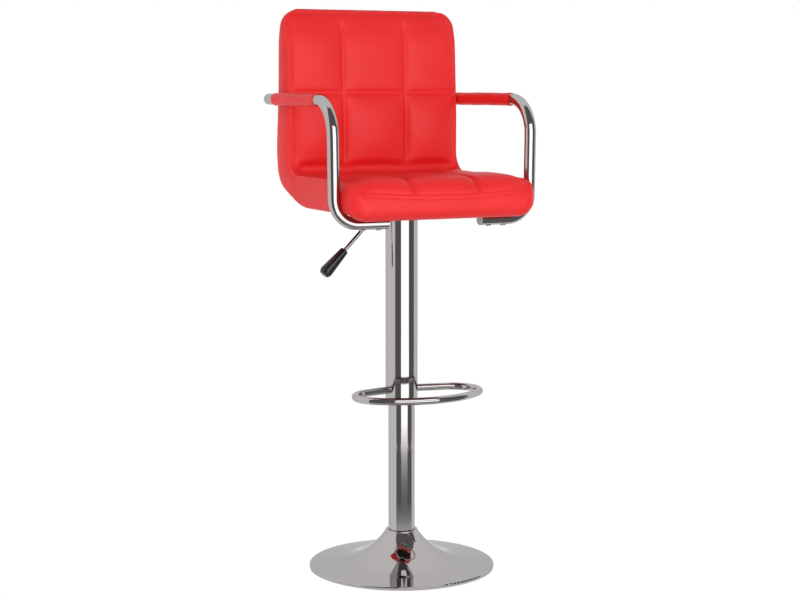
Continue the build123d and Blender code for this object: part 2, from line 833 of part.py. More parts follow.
def arm_bolt_rods(radius, overshoot):
    """Rods along the arm frame's bolts, through the tube."""
    reach = arm_radius + overshoot
    rods = []
    for x in arm_bolt_xs:
        low = (x, arm_front_y, arm_low_height - reach)
        rods.extend(both_sides(rod_between(low, (x, arm_front_y, arm_low_height + reach), radius)))
    near = (rear_bolt_x, arm_rear_y - reach, arm_top_height)
    rods.extend(both_sides(rod_between(near, (rear_bolt_x, arm_rear_y + reach, arm_top_height), radius)))
    return rods


def make_arm_frame():
    """One bent tube: both arms, joined behind the back, with bolt holes."""
    start = Plane(origin=(arm_inner_x, arm_front_y, arm_low_height), z_dir=(1, 0, 0))
    ring = Circle(arm_radius) - Circle(arm_radius - arm_wall)
    frame = sweep(start * ring, path=arm_path())
    for hole in arm_bolt_rods(arm_bolt_radius + bolt_gap, 1):
        frame -= hole
    return frame


def arm_point(side, y):
    """The point of an arm's middle line at a depth, on its straight run, which toes in to the rear."""
    share = (y - arm_front_y) / (arm_rear_y - arm_front_y)
    return Vector(side * (arm_top_x + share * (arm_rear_x - arm_top_x)), y, arm_top_height)


def make_arm_pad(side):
    """Padded sleeve round the straight run of one arm."""
    front, rear = arm_point(side, pad_front), arm_point(side, pad_rear)
    length = (rear - front).length
    low = (Align.CENTER, Align.CENTER, Align.MIN)
    sleeve = Cylinder(pad_radius, length, align=low)
    sleeve = fillet(sleeve.edges(), pad_end_round)
    sleeve -= Cylinder(arm_radius + soft_gap, length, align=low)
    return Plane(origin=front, z_dir=rear - front) * sleeve


def make_tube_plugs():
    """Plastic plugs in the arm frame's open ends under the seat."""
    inner = arm_radius - arm_wall
    end = (arm_inner_x, arm_front_y, arm_low_height)
    cap = rod_between((arm_inner_x - plug_cap, arm_front_y, arm_low_height), end, arm_radius - 0.4)
    cap = fillet(cap.edges().sort_by(Axis.X)[0], 1.0)
    stem = rod_between(end, (arm_inner_x + plug_depth, arm_front_y, arm_low_height), inner)
    return group(both_sides(cap + stem))


def make_arm_front_spacers():
    """Saddled spacers between the arm frame and the board, under the seat."""
    bend = rod_between((0, arm_front_y, arm_low_height), (arm_low_x, arm_front_y, arm_low_height),
                       arm_radius)
    spacers = []
    for x in arm_bolt_xs:
        bottom = (x, arm_front_y, arm_low_height + arm_radius - 5)
        top = (x, arm_front_y, board_bottom)
        spacer = rod_between(bottom, top, spacer_radius) - bend
        spacer -= rod_between(bottom, top, arm_bolt_radius + bolt_gap)
        spacers.extend(both_sides(spacer))
    return group(spacers)


def make_arm_rear_spacers():
    """Saddled spacers between the arm frame and the board, behind the back."""
    run = rod_between((0, arm_rear_y, arm_top_height), (arm_rear_x, arm_rear_y, arm_top_height), arm_radius)
    near = (rear_bolt_x, arm_rear_y - arm_radius + 5, arm_top_height)
    far = (rear_bolt_x, board_middle(arm_top_height) - board_thickness, arm_top_height)
    nut_end = (rear_bolt_x, rear_nut_front() + nut_length, arm_top_height)
    spacer = rod_between(near, far, spacer_radius) - run
    spacer -= side_solid(board_face(board_thickness / 2), board_half_width)
    spacer = spacer.solids().sort_by(Axis.Y)[-1]
    spacer -= rod_between(near, far, arm_bolt_radius + bolt_gap)
    spacer -= rod_between(far, nut_end, nut_barrel_radius)
    return group(both_sides(spacer))


def make_arm_front_bolts():
    """Bolts from below through the arm frame into the board."""
    bolts = []
    seat = arm_low_height - arm_radius
    top = board_bottom + nut_length - 1
    for x in arm_bolt_xs:
        head = rod_between((x, arm_front_y, seat - arm_bolt_head_height), (x, arm_front_y, seat),
                           arm_bolt_head_radius)
        head = fillet(head.edges().sort_by(Axis.Z)[0], 1.5)
        shaft = rod_between((x, arm_front_y, seat), (x, arm_front_y, top), arm_bolt_radius)
        bolts.extend(both_sides(head + shaft))
    return group(bolts)


def make_arm_rear_bolts():
    """Bolts through the arm frame's rear run into the back."""
    seat = arm_rear_y + arm_radius
    tip = rear_nut_front() + 1
    x = rear_bolt_x
    head = rod_between((x, seat, arm_top_height), (x, seat + arm_bolt_head_height, arm_top_height),
                       arm_bolt_head_radius)
    head = fillet(head.edges().sort_by(Axis.Y)[-1], 1.5)
    shaft = rod_between((x, tip, arm_top_height), (x, seat, arm_top_height), arm_bolt_radius)
    return group(both_sides(head + shaft))


def make_tee_nuts():
    """Tee nuts pressed into the board for every bolt."""
    low = (Align.CENTER, Align.CENTER, Align.MIN)
    barrel = nut_length - nut_flange_thickness
    nut = Cylinder(nut_barrel_radius, barrel, align=low)
    nut += Pos(0, 0, barrel) * Cylinder(nut_flange_radius, nut_flange_thickness, align=low)
    nut -= Cylinder(arm_bolt_radius, nut_length, align=low)
    level = board_level + board_thickness / 2 - nut_length
    places = list(plate_bolt_places())
    places += [(x * side, arm_front_y) for x in arm_bolt_xs for side in (-1, 1)]
    nuts = [Pos(x, y, level) * nut for x, y in places]
    back = rear_nut_front() + nut_length
    for side in (-1, 1):
        nuts.append(Plane(origin=(rear_bolt_x * side, back, arm_top_height), z_dir=(0, -1, 0)) * nut)
    return group(nuts)


nodes = {
    "base_dish": make_base_dish(),
    "floor_ring": make_floor_ring(),
    "weight_plate": make_weight_plate(),
    "column_flange": make_column_flange(),
    "base_bolts": make_base_bolts(),
    "base_collar": make_base_collar(),
    "column_tube": make_column_tube(),
    "column_end_plate": make_column_end_plate(),
    "guide_bush": make_guide_bush(),
    "lower_race": make_race(end_plate_top, rod_stub_radius + 1),
    "bearing_balls": make_bearing_balls(),
    "ball_cage": make_ball_cage(),
    "upper_race": make_race(upper_race_bottom, rod_stub_radius),
    "piston_rod": make_piston_rod(),
    "rod_clip": make_rod_clip(),
    "rubber_buffer": make_rubber_buffer(),
    "piston_head": make_piston_head(),
    "pressure_tube": make_pressure_tube(),
    "rod_seal": make_rod_seal(),
    "release_pin": make_release_pin(),
    "sleeve_tube": make_sleeve_tube(),
    "sleeve_glide": make_sleeve_glide(),
    "sleeve_cap": make_sleeve_cap(),
    "footrest": make_footrest(),
    "seat_plate": make_seat_plate(),
    "hub_socket": make_hub_socket(),
    "plate_bolts": make_plate_bolts(),
    "lever_rod": make_lever_rod(),
    "lever_handle": make_lever_handle(),
    "lever_bracket": make_lever_bracket(),
    "lever_pivot_pin": make_lever_pivot_pin(),
    "seat_board": make_seat_board(),
    "seat_cushion": make_seat_cushion(),
    "rear_cover": make_rear_cover(),
    "dust_cover": make_dust_cover(),
    "arm_frame": make_arm_frame(),
    "arm_pad_left": make_arm_pad(-1),
    "arm_pad_right": make_arm_pad(1),
    "tube_plugs": make_tube_plugs(),
    "arm_front_spacers": make_arm_front_spacers(),
    "arm_rear_spacers": make_arm_rear_spacers(),
    "arm_front_bolts": make_arm_front_bolts(),
    "arm_rear_bolts": make_arm_rear_bolts(),
    "tee_nuts": make_tee_nuts(),
}

os.makedirs("parts", exist_ok=True)
for name, shape in nodes.items():
    shape.label = name
    export_step(shape, f"parts/{name}.step")
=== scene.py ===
import json
import math

import bmesh
import bpy
import numpy as np
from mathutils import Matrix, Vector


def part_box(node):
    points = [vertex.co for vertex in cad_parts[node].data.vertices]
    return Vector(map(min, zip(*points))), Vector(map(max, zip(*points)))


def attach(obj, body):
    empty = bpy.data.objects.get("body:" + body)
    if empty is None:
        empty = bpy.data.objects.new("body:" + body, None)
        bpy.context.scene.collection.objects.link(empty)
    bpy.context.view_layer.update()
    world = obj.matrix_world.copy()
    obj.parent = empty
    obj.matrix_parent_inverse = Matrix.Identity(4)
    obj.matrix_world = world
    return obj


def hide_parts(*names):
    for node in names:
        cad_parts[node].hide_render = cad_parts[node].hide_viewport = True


# An adjustable swivel stool: finishes for the carried solids, padded upholstery, and the studio round it.
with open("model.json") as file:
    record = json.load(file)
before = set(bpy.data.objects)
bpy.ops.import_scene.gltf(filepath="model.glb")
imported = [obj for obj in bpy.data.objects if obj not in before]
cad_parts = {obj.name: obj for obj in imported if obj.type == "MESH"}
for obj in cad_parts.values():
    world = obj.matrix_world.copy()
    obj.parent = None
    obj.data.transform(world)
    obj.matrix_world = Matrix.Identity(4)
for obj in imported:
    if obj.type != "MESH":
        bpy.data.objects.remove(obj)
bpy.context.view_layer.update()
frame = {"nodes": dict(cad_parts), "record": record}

MM = 0.001
scene = bpy.context.scene
scene.view_settings.view_transform = "Standard"


# ---------------------------------------------------------------- camera
def stand_camera():
    """Camera 1 m up in front of the stool, to the sitter's right, looking slightly down."""
    data = bpy.data.cameras.new("studio_camera")
    data.lens = 79.55
    data.sensor_width = 36.0
    data.shift_x = -0.00196
    data.clip_end = 60.0
    camera = bpy.data.objects.new("studio_camera", data)
    camera.location = (-1.6406, -3.2213, 0.9958)
    camera.rotation_euler = (math.radians(83.13), 0.0, math.radians(-26.99))
    scene.collection.objects.link(camera)
    scene.camera = camera


stand_camera()


# ---------------------------------------------------------------- materials
class Nodes:
    """The emptied node tree of a material or a world, with short ways to add and join nodes."""

    def __init__(self, owner):
        owner.use_nodes = True
        self.tree = owner.node_tree
        self.tree.nodes.clear()

    def add(self, kind, **values):
        """A new node. A value goes to the input of its name, or to the node itself where none has it."""
        node = self.tree.nodes.new(kind)
        for key, value in values.items():
            if key in node.inputs:
                node.inputs[key].default_value = value
            else:
                setattr(node, key, value)
        return node

    def join(self, a, output, b, socket):
        """A link from an output of one node to an input of another, each by its name or number."""
        self.tree.links.new(a.outputs[output], b.inputs[socket])

    def ramp(self, source, output, stops):
        """Colour ramp after a node: stops are (position, (r, g, b))."""
        node = self.add("ShaderNodeValToRGB")
        ramp = node.color_ramp
        while len(ramp.elements) < len(stops):
            ramp.elements.new(0.5)
        for element, (position, colour) in zip(ramp.elements, stops):
            element.position = position
            element.color = (*colour, 1)
        self.join(source, output, node, "Fac")
        return node

    def straight_ray(self):
        """A node that gives 1 to rays of the camera, off a mirror or through glass, and 0 to all others."""
        path = self.add("ShaderNodeLightPath")
        seen = self.add("ShaderNodeMath", operation="MAXIMUM")
        self.join(path, "Is Camera Ray", seen, 0)
        self.join(path, "Is Glossy Ray", seen, 1)
        also = self.add("ShaderNodeMath", operation="MAXIMUM")
        self.join(seen, "Value", also, 0)
        self.join(path, "Is Transmission Ray", also, 1)
        return also


class Finish(Nodes):
    """A material whose shader is reached as .shader, with short ways to vary it over a surface."""

    def __init__(self, name, colour, roughness, metallic=0.0, specular=0.5):
        self.material = bpy.data.materials.new(name)
        super().__init__(self.material)
        out = self.add("ShaderNodeOutputMaterial")
        self.shader = self.add("ShaderNodeBsdfPrincipled")
        self.join(self.shader, "BSDF", out, "Surface")
        self.shader.inputs["Base Color"].default_value = (*colour, 1)
        self.shader.inputs["Roughness"].default_value = roughness
        self.shader.inputs["Metallic"].default_value = metallic
        self.shader.inputs["Specular IOR Level"].default_value = specular
        self.place = self.add("ShaderNodeTexCoord")

    def noise(self, scale, detail=4.0, stretch=None):
        """Noise on Object coordinates, stretched where the stretch says so."""
        node = self.add("ShaderNodeTexNoise", Scale=scale, Detail=detail, Roughness=0.55)
        if stretch:
            mapping = self.add("ShaderNodeMapping", Scale=stretch)
            self.join(self.place, "Object", mapping, "Vector")
            self.join(mapping, "Vector", node, "Vector")
        else:
            self.join(self.place, "Object", node, "Vector")
        return node

    def cells(self, scale):
        """Round cells on Object coordinates: the distance to the nearest of scattered points."""
        node = self.add("ShaderNodeTexVoronoi", Scale=scale)
        self.join(self.place, "Object", node, "Vector")
        return node

    def colour_by(self, source, output, stops):
        """The base colour follows a node, through a colour ramp."""
        self.join(self.ramp(source, output, stops), "Color", self.shader, "Base Color")

    def roughness_by(self, source, output, low, high, from_low=0.3, from_high=0.7):
        """The roughness follows a node, carried from one range to another."""
        node = self.add("ShaderNodeMapRange")
        node.inputs["From Min"].default_value = from_low
        node.inputs["From Max"].default_value = from_high
        node.inputs["To Min"].default_value = low
        node.inputs["To Max"].default_value = high
        self.join(source, output, node, "Value")
        self.join(node, "Result", self.shader, "Roughness")

    def raised(self, source, output, height, strength, after=None):
        """Bump from a node, on top of an earlier bump where one is given. The last one made is worn."""
        node = self.add("ShaderNodeBump", Strength=strength, Distance=height)
        self.join(source, output, node, "Height")
        if after is not None:
            self.join(after, "Normal", node, "Normal")
        self.join(node, "Normal", self.shader, "Normal")
        return node


def make_chrome():
    """Bright plating with faint polishing haze and a little long-wave ripple."""
    f = Finish("bright_chrome", (0.455, 0.433, 0.433), 0.05, metallic=1.0)
    f.shader.inputs["Specular Tint"].default_value = (0.70, 0.70, 0.70, 1)
    f.roughness_by(f.noise(9.0, detail=3.0), "Fac", low=0.04, high=0.08)
    f.raised(f.noise(26.0, detail=1.0), "Fac", height=0.0002, strength=0.05)
    return f.material


def make_zinc():
    """Zinc-plated steel with a spangle."""
    f = Finish("zinc_plate", (0.62, 0.62, 0.60), 0.34, metallic=1.0)
    f.colour_by(f.cells(260.0), "Distance", [(0.0, (0.66, 0.65, 0.60)), (1.0, (0.52, 0.54, 0.56))])
    grain = f.noise(600.0, detail=2.0)
    f.roughness_by(grain, "Fac", low=0.26, high=0.42)
    f.raised(grain, "Fac", height=0.00005, strength=0.25)
    return f.material


def make_cast_iron():
    """Sand-cast iron under a thin dark primer."""
    f = Finish("cast_iron_primer", (0.05, 0.05, 0.052), 0.8)
    grain = f.noise(420.0, detail=6.0)
    f.colour_by(grain, "Fac", [(0.3, (0.035, 0.035, 0.037)), (0.75, (0.085, 0.082, 0.08))])
    f.raised(grain, "Fac", height=0.0006, strength=0.6)
    return f.material


def make_black_steel():
    """Black powder coat with its fine orange-peel."""
    f = Finish("black_powder_coat", (0.018, 0.018, 0.019), 0.42)
    peel = f.noise(900.0, detail=2.0)
    f.roughness_by(peel, "Fac", low=0.36, high=0.52)
    f.raised(peel, "Fac", height=0.00012, strength=0.4)
    return f.material


def make_rubber():
    """Moulded rubber with a dusty bloom."""
    f = Finish("moulded_rubber", (0.02, 0.02, 0.02), 0.8, specular=0.3)
    bloom = f.noise(60.0, detail=5.0)
    f.colour_by(bloom, "Fac", [(0.35, (0.016, 0.016, 0.016)), (0.75, (0.045, 0.044, 0.043))])
    f.raised(f.noise(1200.0), "Fac", height=0.0001, strength=0.4)
    return f.material


def make_white_plastic():
    """Natural nylon, a little yellow."""
    f = Finish("natural_nylon", (0.72, 0.70, 0.64), 0.45)
    f.colour_by(f.noise(40.0), "Fac", [(0.3, (0.69, 0.67, 0.60)), (0.7, (0.76, 0.74, 0.69))])
    f.raised(f.noise(800.0), "Fac", height=0.00008, strength=0.3)
    return f.material


def make_black_plastic():
    """Moulded black plastic with a fine spark-eroded texture."""
    f = Finish("black_moulding", (0.016, 0.016, 0.017), 0.5)
    grain = f.cells(1800.0)
    f.roughness_by(grain, "Distance", low=0.42, high=0.6, from_low=0.0, from_high=1.0)
    f.raised(grain, "Distance", height=0.0001, strength=0.35)
    return f.material


def make_grey_plastic():
    """Pale grey moulded plug with a fine matt grain."""
    f = Finish("grey_moulding", (0.50, 0.50, 0.51), 0.5)
    grain = f.cells(1500.0)
    f.colour_by(grain, "Distance", [(0.0, (0.47, 0.47, 0.48)), (1.0, (0.55, 0.55, 0.55))])
    f.raised(grain, "Distance", height=0.0001, strength=0.3)
    return f.material


def make_gloss_black():
    """Glossy black grip moulding with faint flow marks."""
    f = Finish("gloss_black_grip", (0.012, 0.012, 0.012), 0.16)
    flow = f.noise(55.0, detail=2.0, stretch=(1.0, 1.0, 0.35))
    f.roughness_by(flow, "Fac", low=0.12, high=0.24)
    f.raised(flow, "Fac", height=0.0003, strength=0.08)
    return f.material


def make_plywood():
    """Pale plywood, with its rings stretched along the grain."""
    f = Finish("bent_plywood", (0.62, 0.45, 0.27), 0.6)
    grain = f.noise(30.0, detail=6.0, stretch=(9.0, 1.0, 1.0))
    f.colour_by(grain, "Fac", [(0.3, (0.50, 0.34, 0.19)), (0.5, (0.64, 0.47, 0.29)),
                               (0.75, (0.74, 0.58, 0.39))])
    f.raised(grain, "Fac", height=0.0004, strength=0.35)
    return f.material


def make_dust_fabric():
    """Black spun felt, tacked under the seat."""
    f = Finish("spun_felt", (0.012, 0.012, 0.013), 0.95, specular=0.15)
    fibre = f.noise(700.0, detail=8.0, stretch=(1.0, 0.4, 1.0))
    f.colour_by(fibre, "Fac", [(0.35, (0.006, 0.006, 0.007)), (0.7, (0.030, 0.030, 0.032))])
    f.raised(fibre, "Fac", height=0.0005, strength=0.6)
    f.shader.inputs["Sheen Weight"].default_value = 0.2
    return f.material


def make_red_leather():
    """Soft red imitation leather: pebble grain, faint tone change and a satin surface."""
    f = Finish("red_imitation_leather", (0.82, 0.020, 0.021), 0.46, specular=0.19)
    tone = f.noise(7.0, detail=3.0)
    f.colour_by(tone, "Fac", [(0.30, (0.79, 0.019, 0.020)), (0.70, (0.85, 0.025, 0.026))])
    f.roughness_by(f.noise(90.0, detail=4.0), "Fac", low=0.41, high=0.52)
    pebble = f.raised(f.cells(900.0), "Distance", height=0.00022, strength=0.30)
    f.raised(f.noise(1500.0, detail=3.0), "Fac", height=0.0001, strength=0.25, after=pebble)
    return f.material


LEATHER = make_red_leather()
FINISHES = {
    "chrome": make_chrome(),
    "zinc_steel": make_zinc(),
    "cast_iron": make_cast_iron(),
    "black_steel": make_black_steel(),
    "rubber": make_rubber(),
    "white_plastic": make_white_plastic(),
    "black_plastic": make_black_plastic(),
    "grey_plastic": make_grey_plastic(),
    "gloss_black": make_gloss_black(),
    "red_padding": LEATHER,
    "red_leather": LEATHER,
    "plywood": make_plywood(),
    "dust_fabric": make_dust_fabric(),
}


def dress_frame():
    """Every carried solid takes the finish of its own material slot."""
    slots = {s["node"]: s["material_slot"] for s in frame["record"]["subparts"]}
    for name, node in frame["nodes"].items():
        node.data.materials.clear()
        node.data.materials.append(FINISHES[slots[name]])


dress_frame()


# ---------------------------------------------------------------- mesh helpers
JOIN_WITHIN = 0.00002
SHORTEST_EDGE = 0.00001


def grid_faces(rows, columns, round_rows=False, round_columns=False):
    """Quads of a grid of rows by columns, closed round either way where that is said."""
    r = np.arange(rows if round_rows else rows - 1)
    c = np.arange(columns if round_columns else columns - 1)
    r, c = np.meshgrid(r, c, indexing="ij")
    r2, c2 = (r + 1) % rows, (c + 1) % columns
    quads = np.stack([r * columns + c, r * columns + c2, r2 * columns + c2, r2 * columns + c], -1)
    return quads.reshape(-1, 4)


def add_piece(name, points, faces, material, smooth=True):
    """A new object at the origin from an array of points, in metres, and an array of faces.

    Points that fall together are joined, and the faces are turned outward.
    """
    mesh = bpy.data.meshes.new(name)
    mesh.from_pydata(np.asarray(points, float).reshape(-1, 3), [], np.asarray(faces).tolist())
    work = bmesh.new()
    work.from_mesh(mesh)
    bmesh.ops.remove_doubles(work, verts=work.verts, dist=JOIN_WITHIN)
    bmesh.ops.dissolve_degenerate(work, edges=work.edges, dist=SHORTEST_EDGE)
    bmesh.ops.recalc_face_normals(work, faces=work.faces)
    work.to_mesh(mesh)
    work.free()
    mesh.polygons.foreach_set("use_smooth", np.full(len(mesh.polygons), smooth))
    mesh.materials.append(material)
    mesh.update()
    piece = bpy.data.objects.new(name, mesh)
    scene.collection.objects.link(piece)
    return piece


def rounded_line(points, radii, step=1.0):
    """Straight lines between points with an arc at each corner, as an array of points about a step apart.

    Each corner's arc starts and ends at radius / tan(half the corner's angle) from the corner.
    """
    points = np.asarray(points, float)
    pieces = [points[:1]]
    for before, corner, after, radius in zip(points, points[1:], points[2:], radii):
        a = (before - corner) / np.linalg.norm(before - corner)
        b = (after - corner) / np.linalg.norm(after - corner)
        half = math.acos(np.clip(a @ b, -1, 1)) / 2
        reach = radius / math.tan(half)
        centre = corner + (a + b) / np.linalg.norm(a + b) * radius / math.sin(half)
        start, end = corner + a * reach - centre, corner + b * reach - centre
        turn = math.acos(np.clip(start @ end / radius**2, -1, 1))
        share = np.linspace(0, 1, max(4, int(turn * radius / step) + 2))[:, None]
        arc = (np.sin((1 - share) * turn) * start + np.sin(share * turn) * end) / math.sin(turn)
        pieces.append(centre + arc)
    pieces.append(points[-1:])
    line = np.vstack(pieces)
    reach = along(line)
    return at_distance(line, np.linspace(0, reach[-1], int(reach[-1] / step) + 1))


def along(line):
    """Distance along a line of points, from 0 at its start."""
    return np.concatenate([[0], np.cumsum(np.linalg.norm(np.diff(line, axis=0), axis=1))])


def at_distance(line, distance):
    """Points of a line at given distances along it."""
    reach = along(line)
    return np.stack([np.interp(distance, reach, line[:, k]) for k in range(line.shape[1])], -1)


def nearest_distance(line, y=None, z=None, after=0.0):
    """Distance along a line to its point nearest in y or in z, past a given distance."""
    column, value = (0, y) if y is not None else (1, z)
    reach = along(line)
    away = np.where(reach < after, np.inf, np.abs(line[:, column] - value))
    return reach[np.argmin(away)]


def smoothstep(share):
    """3s squared less 2s cubed, with s kept between 0 and 1: a rise that starts and ends level."""
    s = np.clip(share, 0, 1)
    return s * s * (3 - 2 * s)


def climb(value, start, over):
    """A straight rise from 0 at the start to 1 a given distance further, and level outside that."""
    return np.clip((value - start) / over, 0, 1)


def bell(distance, width):
    """exp(-(distance / width) squared): 1 on a line, and fading away from it."""
    return np.exp(-(distance / width) ** 2)


# ---------------------------------------------------------------- upholstery
# every length here is in millimetres
BACK_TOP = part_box("rear_cover")[1].z / MM
HALF_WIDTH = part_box("rear_cover")[1].x / MM
SEAT_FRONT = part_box("seat_cushion")[0].y / MM
NOSE_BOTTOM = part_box("rear_cover")[0].z / MM
SEAT_TOP = NOSE_BOTTOM + 78.5
UNDERSIDE = SEAT_TOP - 65.0
# the front line and the rear line meet at the top of the back and here, low on the nose
NOSE_EDGE = NOSE_BOTTOM + 28.5
# the shell behind this y is the back, and ahead of it the seat
BACK_FROM = 60.0
EDGE_RADIUS = 5.0
REAR_EDGE_RADIUS = 2.5
SEAM_INSET = 5.5
EDGE_SEAM_X = HALF_WIDTH - SEAM_INSET
CHANNEL_X = 72.0
# within this half width the sections keep their columns straight while the sides step in or swell
KEPT_STRAIGHT = 88.0
# from one seam of the border to the other
STRIP = 9.0


def up_back(share):
    """Height at a share of the way from the seat's top to the top of the back."""
    return SEAT_TOP + share * (BACK_TOP - SEAT_TOP)


# the profile in the middle plane: (y, z) of each corner, then the radius of each corner between the ends
FRONT_LINE = rounded_line(
    [(154, BACK_TOP), (148, BACK_TOP), (130, up_back(0.816)), (122, up_back(0.364)), (122, SEAT_TOP),
     (SEAT_FRONT, SEAT_TOP), (SEAT_FRONT, NOSE_EDGE)],
    [6, 150, 300, 42, 49])
REAR_LINE = rounded_line(
    [(154, BACK_TOP), (160, BACK_TOP), (176.5, up_back(0.816)), (180, up_back(0.498)),
     (192, SEAT_TOP + 52.0), (184, SEAT_TOP - 19.5), (70, UNDERSIDE), (-161, UNDERSIDE),
     (-174, NOSE_BOTTOM), (SEAT_FRONT, NOSE_BOTTOM), (SEAT_FRONT, NOSE_EDGE)],
    [6, 150, 300, 150, 60, 200, 8, 6, 27])
FRONT_LENGTH = along(FRONT_LINE)[-1]
REAR_LENGTH = along(REAR_LINE)[-1]

# distances down the front line of the sewn lines
TOP_SEAM = nearest_distance(FRONT_LINE, z=BACK_TOP - 7.0)
ROW_SEAM = nearest_distance(FRONT_LINE, z=984.0)
BEND_SEAM = nearest_distance(FRONT_LINE, z=830.0)
SEAT_SEAM = BEND_SEAM + 141.0
NOSE_SEAM = nearest_distance(FRONT_LINE, z=796.0, after=FRONT_LENGTH / 2 + 100)
ROWS = np.array([TOP_SEAM, ROW_SEAM, BEND_SEAM, SEAT_SEAM, NOSE_SEAM])
COLUMNS = np.array([-EDGE_SEAM_X, -CHANNEL_X, CHANNEL_X, EDGE_SEAM_X])


def spaced(stops, steps):
    """Rising values through stops, with each span cut into pieces about as long as its step."""
    out = [np.array([stops[0]], float)]
    for a, b, step in zip(stops, stops[1:], steps):
        out.append(np.linspace(a, b, max(2, int(round((b - a) / step)) + 1))[1:])
    return np.concatenate(out)


def narrowing(y, z, plan=36.0, top=34.0, low=30.0):
    """How far the sides step in at three round corners: in plan at the front, at the top of the back, and
    at the nose's bottom. Each gives its radius less the root of radius squared less depth squared, where
    the depth counts from the corner's start. The nose's bottom fades out behind its front 40.
    """
    def corner(depth, radius):
        """The step inward of a round corner at a depth past its start."""
        inside = np.clip(depth, 0, radius)
        return radius - np.sqrt(radius**2 - inside**2)
    near_nose = climb(-y, start=120.0, over=40.0)
    return (corner(SEAT_FRONT + plan - y, plan) + corner(z - (BACK_TOP - top), top)
            + corner(NOSE_BOTTOM + low - z, low) * near_nose)


def toward_front(y):
    """0 in the back, rising smoothly to 1 over the seat's rearmost 200."""
    return smoothstep((BACK_FROM - y) / 200.0)


def swelling(y, z, most=12.0, below_top=41.0, half_height=42.0):
    """How far the seat's sides stand out at its front: the most times (1 - t squared) to the power 0.8,
    where t is the height from the middle of the side over its half height. It is less toward the rear.
    """
    belly = np.clip(1 - ((z - SEAT_TOP + below_top) / half_height) ** 2, 0, 1)
    return most * toward_front(y) * belly**0.8


def shell_grid():
    """The padded shell as a closed grid of points, with each point's place on the pattern pieces.

    Rows run from the back's top edge down the back and along the seat to the nose, and columns go round
    each cross section: over the front face, down one side, over the rear face and up the other side. A row
    joins a point of the front line to the point of the rear line that belongs to it. Its section is a
    rectangle with rounded edges, as wide as the seat less the narrowing and with the swelling. Returned
    with the points are the distance down the front line, the distance across the front face, the distance
    in from that face, and that distance as a share of the thickness.
    """
    band, side_band = 16.0, 14.0
    run = spaced([0, TOP_SEAM, 60, ROW_SEAM - band, ROW_SEAM, ROW_SEAM + band, BEND_SEAM - band, BEND_SEAM,
                  BEND_SEAM + 20, SEAT_SEAM - band, SEAT_SEAM, SEAT_SEAM + band, NOSE_SEAM - 50, NOSE_SEAM,
                  NOSE_SEAM + STRIP, FRONT_LENGTH],
                 [2.2, 3.2, 6.0, 3.2, 3.2, 6.0, 3.0, 3.0, 6.0, 3.2, 3.2, 6.0, 3.2, 2.2, 2.8])
    # places of the front line with the places of the rear line that belong to them
    pairs = [({"z": 1092}, {"z": 1092}), ({"z": 985}, {"z": 985}), ({"z": 872}, {"z": 880}),
             ({"z": 830}, {"z": 798}), ({"y": 78}, {"y": 62}), ({"y": -150, "after": 400.0}, {"y": -150})]
    front_keys = [nearest_distance(FRONT_LINE, **place) for place, _ in pairs]
    rear_keys = [nearest_distance(REAR_LINE, **place) for _, place in pairs]
    rear_run = np.interp(run, [0, *front_keys, FRONT_LENGTH - 30, FRONT_LENGTH],
                         [0, *rear_keys, REAR_LENGTH - 30, REAR_LENGTH])
    front = at_distance(FRONT_LINE, run)
    rear = at_distance(REAR_LINE, rear_run)
    flat = HALF_WIDTH - EDGE_RADIUS
    across = spaced([-flat, -EDGE_SEAM_X, -150, -CHANNEL_X - side_band, -CHANNEL_X, -CHANNEL_X + side_band,
                     CHANNEL_X - side_band, CHANNEL_X, CHANNEL_X + side_band, 150, EDGE_SEAM_X, flat],
                    [2.0, 3.4, 6.0, 2.8, 2.8, 6.2, 2.8, 2.8, 6.0, 3.4, 2.0])
    every_row = np.ones((len(run), 1))
    thickness = np.linalg.norm(front - rear, axis=1)[:, None]
    # where the shell thins out, its edges and its strip keep to a share of the thickness
    radius = np.minimum(EDGE_RADIUS, thickness * 0.3)
    rear_radius = np.minimum(REAR_EDGE_RADIUS, thickness * 0.3)
    strip = np.minimum(STRIP, thickness * 0.4)
    turn = np.radians(spaced([0, 90], [18]))[None, 1:]
    near_d = radius * (1 - np.cos(turn))
    near_x = every_row * (flat + EDGE_RADIUS * np.sin(turn))
    far_d = rear_radius * (1 - np.cos(turn))
    far_x = every_row * (HALF_WIDTH - REAR_EDGE_RADIUS * (1 - np.sin(turn)))
    to_strip = radius + (strip - radius) * np.array([[0.5, 1.0]])
    middle = strip + (thickness - 2 * strip) * spaced([0, 1], [0.1])[None, 1:-1]
    side_d = np.hstack([near_d, to_strip, middle, thickness - to_strip[:, ::-1], thickness - far_d[:, ::-1]])
    straight = np.full_like(np.hstack([to_strip, middle, to_strip]), HALF_WIDTH)
    side_x = np.hstack([near_x, straight, far_x[:, ::-1]])
    # the last point of the side columns is the first of the rear face, so both faces keep theirs
    side_d, side_x = side_d[:, :-1], side_x[:, :-1]
    face_x = every_row * across
    face_d = np.zeros_like(face_x)
    x = np.hstack([face_x, side_x, -face_x, -side_x])
    d = np.hstack([face_d, side_d, face_d + thickness, thickness - side_d])
    share = d / np.maximum(thickness, 1e-6)
    yz = front[:, None, :] + (rear - front)[:, None, :] * share[..., None]
    half = HALF_WIDTH - narrowing(yz[..., 0], yz[..., 1]) + swelling(yz[..., 0], yz[..., 1])
    outer = (half - KEPT_STRAIGHT) / (HALF_WIDTH - KEPT_STRAIGHT)
    beyond = np.maximum(np.abs(x) - KEPT_STRAIGHT, 0) * (outer - 1)
    points = np.dstack([x + np.sign(x) * beyond, yz])
    return points, np.repeat(run[:, None], x.shape[1], axis=1), x, d, share


